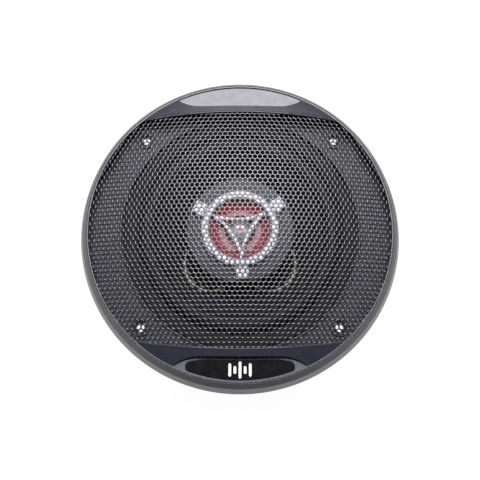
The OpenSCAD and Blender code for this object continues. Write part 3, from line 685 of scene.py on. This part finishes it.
def trim_cheek(name, side, count=220):
    """One cheek, through cross-sections that stand closer together towards its pointed ends."""
    end_x = crossing(lambda x: edge_y(x) - CHEEK_EDGE_BACK - circle_y(CHEEK_OUT_R, x),
                     30 * MM, 70 * MM, 2000)
    verts, faces, rows = [], [], []
    for k in range(count + 1):
        x = 0.5 * end_x * (2 * k / count - 1 - math.cos(math.pi * k / count))
        section = cheek_section(x)
        rows.append(list(range(len(verts), len(verts) + len(section))))
        verts += [(x, side * y, z) for y, z in section]
    for a, b in zip(rows, rows[1:]):
        faces += [[a[k - 1], a[k], b[k], b[k - 1]] for k in range(len(a))]
    faces += [rows[0][::-1], rows[-1]]
    if side > 0:
        faces = [face[::-1] for face in faces]
    piece(name, verts, faces, TRIM_PLASTIC, **TRIM_WHERE)


trim_ring()
trim_cheek("grille_trim_upper_cheek", 1)
trim_cheek("grille_trim_lower_cheek", -1)

BADGE_FLAT = 21 * MM  # half of the straight inner edge
BADGE_HALF = 29 * MM
BADGE_GAP = 0.8 * MM  # round the badge, to the recess's edge and to the lip
BADGE_IN_Y = RECESS_Y + BADGE_GAP
BADGE_R = LIP_R - BADGE_GAP


def outline_plate(name, outline, low, high, edge, material, steps=5, **where):
    """A flat plate: an outline extruded, with its upper edge rounded by stepping the outline inwards."""
    points = [Vector(p) for p in outline]
    count = len(points)
    inward = []
    for i in range(count):
        a = (points[i] - points[i - 1]).normalized()
        b = (points[(i + 1) % count] - points[i]).normalized()
        across = Vector((-(a + b).y, (a + b).x)).normalized()
        inward.append(across / max(across.dot(Vector((-a.y, a.x))), 0.5))
    layers = [(0, low)] + [(edge * (1 - math.cos(a)), high - edge * (1 - math.sin(a)))
                           for a in quarter_turn(steps)]
    verts = [(*(p + step * inset), z) for inset, z in layers for p, step in zip(points, inward)]
    rows = [list(range(j * count, (j + 1) * count)) for j in range(len(layers))]
    faces = [rows[0][::-1], rows[-1]]
    for a, b in zip(rows, rows[1:]):
        faces += [[a[i - 1], a[i], b[i], b[i - 1]] for i in range(count)]
    piece(name, verts, faces, material, even=True, **where)


def badge_outline():
    """The plate's outline: a straight inner edge, rounded ends, and an edge that follows the lip."""
    half = [(0, BADGE_IN_Y, 0), (BADGE_FLAT, BADGE_IN_Y, 6 * MM),
            (BADGE_HALF - 1.8 * MM, BADGE_IN_Y + 1.1 * MM, 4 * MM),
            (BADGE_HALF, BADGE_IN_Y + 2.7 * MM, 2 * MM),
            (BADGE_HALF, circle_y(BADGE_R, BADGE_HALF), 2.3 * MM)]
    start = math.acos(BADGE_HALF / BADGE_R)
    sweep = [start + (math.pi / 2 - start) * k / 24 for k in range(2, 25)]
    lip_edge = [(BADGE_R * math.cos(a), BADGE_R * math.sin(a), 0) for a in sweep]
    right = [(x, y) for x, y in rounded(half + lip_edge, 6) if x > NOTHING]
    whole = right + [(0, BADGE_R)] + [(-x, y) for x, y in right[::-1]] + [(0, BADGE_IN_Y)]
    return [(-x, -y) for x, y in whole]


def bar_outline(x, y, half, radius, steps=12):
    """A round-ended bar: half a turn about a centre above its middle, then half about one below."""
    out = []
    for k in range(2 * steps + 1):
        a = math.pi * k / steps
        centre_y = y + half if k < steps else y - half
        out.append((x + radius * math.cos(a), centre_y + radius * math.sin(a)))
    return out


badge_low, badge_high = (corner.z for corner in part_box("badge_plate"))
outline_plate("badge", badge_outline(), badge_low, badge_high, 0.35 * MM, BADGE,
              body="grille", replaces=["badge_plate"], slot="badge_black")

# The mark: a row of round-ended bars, in turn long and short, and longest in the middle
BAR_PITCH, BAR_W, BAR_COUNT = 2.7 * MM, 1.5 * MM, 5
SHORT_HALF, LONG_HALF, LONG_HALF_LOSS = 1.3 * MM, 3.7 * MM, 0.5 * MM
mark_low, mark_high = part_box("badge_mark")
mark_y = (mark_low.y + mark_high.y) / 2
for k in range(BAR_COUNT):
    step = k - BAR_COUNT // 2
    half = SHORT_HALF if step % 2 else LONG_HALF - LONG_HALF_LOSS * abs(step)
    outline_plate(f"badge_bar_{k + 1}", bar_outline(step * BAR_PITCH, mark_y, half, BAR_W / 2),
                  mark_low.z, mark_high.z, 0.06 * MM, MARK, 3,
                  body="grille", replaces=["badge_mark"], slot="mark_white")


# ---------------------------------------------------------------- cone, surround and spider


def bend_with(obj):
    """Bake the object's placement into its points."""
    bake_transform(obj)


def arc(x, z, r, a0, a1, steps):
    """Points of an arc about (x, z), between two angles in degrees."""
    return [(x + r * math.cos(math.radians(a)), z + r * math.sin(math.radians(a)))
            for a in np.linspace(a0, a1, steps + 1)]


CONE_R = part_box("cone")[1].x
CONE_EDGE = top_of("cone")
CONE_T = 0.6 * MM
NECK_Z = bottom_of("cone") + CONE_T
NECK_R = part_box("coil_former")[1].x + 0.05 * MM
CONE_FLAT = CONE_R - 1.8 * MM  # the flat rim that the surround is glued to starts here
CONE_BULGE = 0.18


def cone_z(r):
    """Height of the cone's front, which bulges a little between its neck and its rim."""
    s = (r - NECK_R) / (CONE_FLAT - NECK_R)
    return NECK_Z + (CONE_EDGE - NECK_Z) * ((1 + CONE_BULGE) * s - CONE_BULGE * s * s)


cone_radii = np.linspace(NECK_R, CONE_FLAT, 61)
cone_front = [(r, cone_z(r)) for r in cone_radii]
cone_back = [(r, z - CONE_T) for r, z in cone_front[:0:-1]] + [(NECK_R + CONE_T, NECK_Z - CONE_T)]
lathe("cone_body", [(NECK_R, NECK_Z - CONE_T)] + cone_front
      + [(CONE_R, CONE_EDGE), (CONE_R, CONE_EDGE - CONE_T)] + cone_back,
      CONE_BLACK, 192, body="cone_assembly", replaces=["cone"], slot="cone_plastic")

ROLL_R, ROLL_CENTRE, SKIN = 4.7 * MM, 52.5 * MM, 0.7 * MM
ROLL_IN, ROLL_OUT = ROLL_CENTRE - ROLL_R, ROLL_CENTRE + ROLL_R
LEDGE = bottom_of("front_gasket") - SKIN
RIM_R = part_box("surround")[1].x
GLUE = 0.05 * MM  # left free between the rubber and the parts that it is glued to
rim = [(RIM_R, LEDGE), (RIM_R, LEDGE + SKIN - 0.15 * MM), (RIM_R - 0.2 * MM, LEDGE + SKIN - GLUE)]
glued_edge = rounded([(ROLL_IN - SKIN, CONE_EDGE + SKIN + 0.2 * MM, 0),
                      (ROLL_IN - SKIN - 0.5 * MM, CONE_EDGE + SKIN, 0.3 * MM),
                      (CONE_FLAT, CONE_EDGE + SKIN, 0.25 * MM), (CONE_FLAT, CONE_EDGE + GLUE, 0),
                      (ROLL_IN, CONE_EDGE + GLUE, 0.2 * MM)], 3)
surround = lathe("surround_roll", rim + arc(ROLL_CENTRE, LEDGE, ROLL_R + SKIN, 7, 176, 36)
                 + glued_edge + arc(ROLL_CENTRE, LEDGE, ROLL_R, 180, 0, 36),
                 RUBBER, 192, replaces=["surround"], slot="surround_rubber")
bend_with(surround)

SPIDER_R, SPIDER_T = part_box("spider")[1].x, 0.5 * MM
SPIDER_MID = (bottom_of("spider") + top_of("spider")) / 2
SPIDER_WAVES, WAVE_HEIGHT = 5, 0.9 * MM
WAVE_IN, WAVE_OUT = NECK_R + 1.5 * MM, SPIDER_R - 4.4 * MM


def spider_z(r):
    """Height of the spider's middle: waves between a flat neck and a flat rim."""
    s = (r - WAVE_IN) / (WAVE_OUT - WAVE_IN)
    return SPIDER_MID + (WAVE_HEIGHT * math.sin(2 * math.pi * SPIDER_WAVES * s) if 0 < s < 1 else 0)


spider_middle = [(r, spider_z(r)) for r in np.linspace(NECK_R, SPIDER_R, 121)]
spider = lathe("spider_cloth", [(r, z + SPIDER_T / 2) for r, z in spider_middle]
               + [(r, z - SPIDER_T / 2) for r, z in spider_middle[::-1]],
               SPIDER_CLOTH, 160, replaces=["spider"], slot="spider_cloth")
bend_with(spider)

winding_low, winding_high = (corner.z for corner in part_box("coil_winding"))
winding_in, winding_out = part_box("coil_former")[1].x + 0.01 * MM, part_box("coil_winding")[1].x
WIRE_TURNS = 33
wire_step = (winding_high - winding_low) / WIRE_TURNS
winding = [(winding_in, winding_high), (winding_in, winding_low)]
for turn in range(WIRE_TURNS):
    middle = winding_low + (turn + 0.5) * wire_step
    winding += arc(winding_out - wire_step / 2, middle, wire_step / 2, -80, 80, 4)
lathe("voice_coil_winding", winding, COPPER, 96, body="cone_assembly", replaces=["coil_winding"],
      slot="copper_wire", sharp=None)

DUST_WAVES, DUST_WAVE_HEIGHT = 3, 0.16 * MM
dust_low, dust_high = (corner.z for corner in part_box("dust_ring"))
dust_in, dust_out = 5 * MM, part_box("dust_ring")[1].x
dust_radii = np.linspace(dust_in, dust_out, 40)
dust_wave = [DUST_WAVE_HEIGHT * math.cos(2 * math.pi * DUST_WAVES * (r - dust_in) / (dust_out - dust_in))
             for r in dust_radii]
lathe("dust_cloth", [(r, dust_high - DUST_WAVE_HEIGHT + w) for r, w in zip(dust_radii, dust_wave)]
      + [(r, dust_low + DUST_WAVE_HEIGHT + w) for r, w in zip(dust_radii[::-1], dust_wave[::-1])],
      BLACK_CLOTH, 96, body="cone_assembly", replaces=["dust_ring"], slot="black_cloth")

FILM_T = 0.15 * MM
roll_low, roll_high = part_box("tweeter_surround")
roll_r = roll_high.z - roll_low.z
roll_middle = roll_high.x - roll_r
tweeter_roll = lathe("tweeter_roll", arc(roll_middle, roll_low.z, roll_r, 0, 180, 16)
                     + arc(roll_middle, roll_low.z, roll_r - FILM_T, 180, 0, 16),
                     SURROUND_FILM, 96, replaces=["tweeter_surround"], slot="dome_film")
bend_with(tweeter_roll)


# ---------------------------------------------------------------- wires and leads


def mm_route(rows, side=1):
    """Rows in millimetres as points in metres; side -1 mirrors them in X."""
    return [(side * x * MM, y * MM, z * MM) for x, y, z in rows]


LEAD_SIDES = (("pos", 1), ("neg", -1))

# All routes are in millimetres. Each tinsel lead runs from its terminal's rivet up to the cone's eyelet.
TINSEL_R = 0.7 * MM
TINSEL_X = 9
TINSEL_ROUTE = [(TINSEL_X, -45.4, -18.1), (TINSEL_X, -45.4, -16.4), (TINSEL_X, -44.4, -14),
                (TINSEL_X, -42, -12.6), (TINSEL_X, -39.2, -12.9), (TINSEL_X, -36.6, -14),
                (TINSEL_X, -33.8, -14.6), (TINSEL_X, -31.4, -13.8), (TINSEL_X, -30.1, -12),
                (TINSEL_X, -30, -10.3)]
for name, side in LEAD_SIDES:
    lead = tube(f"tinsel_{name}", smooth_route(mm_route(TINSEL_ROUTE, side)), TINSEL_R, TINSEL, 14,
                replaces=[f"tinsel_lead_{name}"], slot="copper_wire")
    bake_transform(lead)

# On the cone's front each lead runs on from its eyelet round to the coil, where the grille shows it.
CONE_LEAD_R = 0.62 * MM
CONE_LEAD = [(10, -30.4), (13, -31.9), (17.5, -32.6), (22, -31.6), (26.2, -29), (29.4, -25), (31.1, -20.2),
             (31.4, -15), (30.4, -10), (26.5, -5.6), (20.5, -2.8), (15.5, -1)]
for name, side in LEAD_SIDES:
    flat_route = smooth_route(mm_route([(x, y, 0) for x, y in CONE_LEAD], side))
    route = [Vector((p.x, p.y, cone_z(p.length) + 0.7 * CONE_LEAD_R)) for p in flat_route]
    tube(f"cone_lead_{name}", route, CONE_LEAD_R, PALE_BRAID, 12, body="cone_assembly",
         replaces=[f"tinsel_lead_{name}"], slot="copper_wire")

# Each tweeter wire runs from the tweeter's tag down the post, out through the back plate's groove and
# up beside the magnet, and then its own way to its terminal or to the capacitor.
WIRE_DOWN = [(12.6, 1.4, 3), (12.8, 1.4, 0), (12.7, 1.3, -2.8), (11.6, 1.1, -4.1), (8, 0.9, -4.25),
             (3, 0.8, -4.25), (1.2, 0.4, -4.7), (0.8, 0, -6.4), (0.8, 0, -14), (0.8, 0, -30), (0.8, 0, -44),
             (0.8, 0, -46.5), (0.8, -0.5, -48.6), (0.8, -2.2, -49.6), (0.8, -8, -49.6), (0.8, -22, -49.6),
             (0.8, -34, -49.6), (0.8, -38.4, -49.5), (0.8, -40.6, -48.4), (0.8, -41, -46), (0.8, -41, -38)]
WIRE_END_POS = [(0.8, -41, -33), (1.6, -41.6, -29.6), (4, -42.6, -27.8), (8, -42.6, -27.2),
                (10.6, -43.4, -26.8), (11.4, -45, -26.4), (11.4, -47, -26.2)]
WIRE_END_NEG = [(0.8, -41, -33), (0.8, -41.3, -29.5), (0.4, -41.8, -26.2), (-2, -42.4, -23.8),
                (-5.6, -42.8, -22.7), (-8, -43.6, -22.45), (-9, -44.7, -22.4)]
WIRE_R = 0.65 * MM
tube("wire_pos", smooth_route(mm_route(WIRE_DOWN + WIRE_END_POS, -1)), WIRE_R, RED_WIRE, body="chassis",
     replaces=["tweeter_wire_pos"], slot="red_insulation")
tube("wire_neg", smooth_route(mm_route(WIRE_DOWN + WIRE_END_NEG)), WIRE_R, BLACK_WIRE, body="chassis",
     replaces=["tweeter_wire_neg"], slot="black_insulation")

CAP_LEAD_UP = [(8.5, -49.2, -25.25), (10.4, -49.2, -25.2), (11.6, -48.6, -24.4), (11.8, -47.2, -23),
               (11.2, -46.2, -22.2), (10.2, -45.8, -22.05)]
CAP_LEAD_OUT = [(-8.5, -49.2, -25.25), (-9.8, -49.2, -25.25), (-10.9, -48.6, -25.5), (-11.4, -47.2, -26.1)]
CAP_LEAD_R = 0.35 * MM
for name, rows in (("up", CAP_LEAD_UP), ("out", CAP_LEAD_OUT)):
    tube(f"capacitor_lead_{name}", smooth_route(mm_route(rows)), CAP_LEAD_R, TINNED, 12, body="chassis",
         replaces=["capacitor_leads"], slot="tinned_metal")


# ---------------------------------------------------------------- CAD pieces that keep their shape

# Each with the width in millimetres to which its sharp edges are rounded
for node, material, bevel in (
    ("basket", BLACK_STEEL, 0.25),
    ("basket_rivets", STAMPED_STEEL, 0.2),
    ("top_plate", BRIGHT_STEEL, 0.25),
    ("magnet", FERRITE, 0.2),
    ("yoke", BRIGHT_STEEL, 0.3),
    ("front_gasket", FOAM, 0.5),
    ("coil_former", AMBER, 0.03),
    ("cone_eyelets", TINNED, 0.15),
    ("terminal_board", BOARD, 0.12),
    ("terminal_pos", TINNED, 0.1),
    ("terminal_neg", TINNED, 0.1),
    ("terminal_rivets", STAMPED_STEEL, 0.2),
    ("capacitor", CAPACITOR, 0.2),
    ("post", DARK_PLASTIC, 0.2),
    ("post_washer", STAMPED_STEEL, 0.1),
    ("post_nut", STAMPED_STEEL, 0.2),
    ("tweeter_housing", DISC_PLASTIC, 0.3),
    ("tweeter_yoke", BRIGHT_STEEL, 0.15),
    ("tweeter_magnet", NICKEL, 0.1),
    ("tweeter_pole_plate", BRIGHT_STEEL, 0.1),
    ("tweeter_coil", COPPER, 0.03),
    ("tweeter_dome", DOME, 0.02),
    ("tweeter_clamp_ring", DARK_PLASTIC, 0.1),
    ("tweeter_waveguide", RED_GLOSS, 0.2),
    ("tweeter_guard", GUARD_SILVER, 0.35),
    ("grille_base_ring", BASE_PLASTIC, 0.2),
):
    dress(node, material, bevel * MM)


# ---------------------------------------------------------------- floor and light


def area_light(name, towards, distance, width, height, radiance, tint):
    """A soft panel that looks at the speaker from a direction, as bright as the given radiance."""
    data = bpy.data.lights.new(name, "AREA")
    data.shape = "RECTANGLE"
    data.size, data.size_y = width, height
    data.energy = radiance * math.pi * width * height
    data.color = tint
    obj = bpy.data.objects.new(name, data)
    direction = Vector(towards).normalized()
    obj.location = direction * distance
    obj.rotation_mode = "QUATERNION"
    obj.rotation_quaternion = direction.to_track_quat("Z", "Y")
    SCENE.collection.objects.link(obj)


def from_angles(azimuth, elevation):
    """Unit vector: azimuth 0 is +Y and 90 is +X, elevation is above the floor, both in degrees."""
    a, e = math.radians(azimuth), math.radians(elevation)
    return Vector((math.sin(a) * math.cos(e), math.cos(a) * math.cos(e), math.sin(e)))


area_light("overhead_softbox", from_angles(0, 65.25), distance=1.3, width=0.8, height=0.91,
           radiance=12, tint=(0.955, 0.94, 1))
for name, azimuth in (("left_panel", -90), ("right_panel", 90)):
    area_light(name, from_angles(azimuth, 15), distance=1.4, width=1.2, height=0.5,
               radiance=0.28, tint=(0.86, 0.92, 1))

FLOOR_HALF = 4
FLOOR_Z = CAD_BOX[0].z - 0.05 * MM  # just clear of the back plate's face
BRIGHT_HALF_X, BRIGHT_HALF_Y, BRIGHT_MIDDLE_Y = 0.2, 0.175, 0.03
FULL_GLOW, DIM_GLOW = 0.97, 0.42
FADE_END = 1.45  # the glow has dimmed by this many times the bright patch's half sides


def light_table():
    """The pale floor's material: it glows white under the speaker, and less further out."""
    table = Graph("light_table")
    shader = table.shader.inputs
    shader["Base Color"].default_value = (0.1, 0.1, 0.1, 1)
    shader["Roughness"].default_value = 0.9
    shader["Emission Color"].default_value = (1, 1, 1, 1)
    x, y, _ = table.axes()
    reach_x = table.math("MULTIPLY", table.math("ABSOLUTE", x), 1 / BRIGHT_HALF_X)
    from_middle = table.math("ABSOLUTE", table.math("SUBTRACT", y, BRIGHT_MIDDLE_Y))
    reach_y = table.math("MULTIPLY", from_middle, 1 / BRIGHT_HALF_Y)
    glow = table.spread(table.math("MAXIMUM", reach_x, reach_y), FULL_GLOW, DIM_GLOW, 1, FADE_END)
    table.feed(shader["Emission Strength"], glow)
    return table.material


floor_mesh = bpy.data.meshes.new("floor")
floor_corners = [(-FLOOR_HALF, -FLOOR_HALF), (FLOOR_HALF, -FLOOR_HALF), (FLOOR_HALF, FLOOR_HALF),
                 (-FLOOR_HALF, FLOOR_HALF)]
floor_mesh.from_pydata([(x, y, FLOOR_Z) for x, y in floor_corners], [], [(0, 1, 2, 3)])
floor_mesh.materials.append(light_table())
floor = bpy.data.objects.new("floor", floor_mesh)
SCENE.collection.objects.link(floor)

world = bpy.data.worlds.new("studio")
world.use_nodes = True
background = world.node_tree.nodes["Background"].inputs
background["Color"].default_value = (0.5, 0.51, 0.54, 1)
background["Strength"].default_value = 0.3
SCENE.world = world
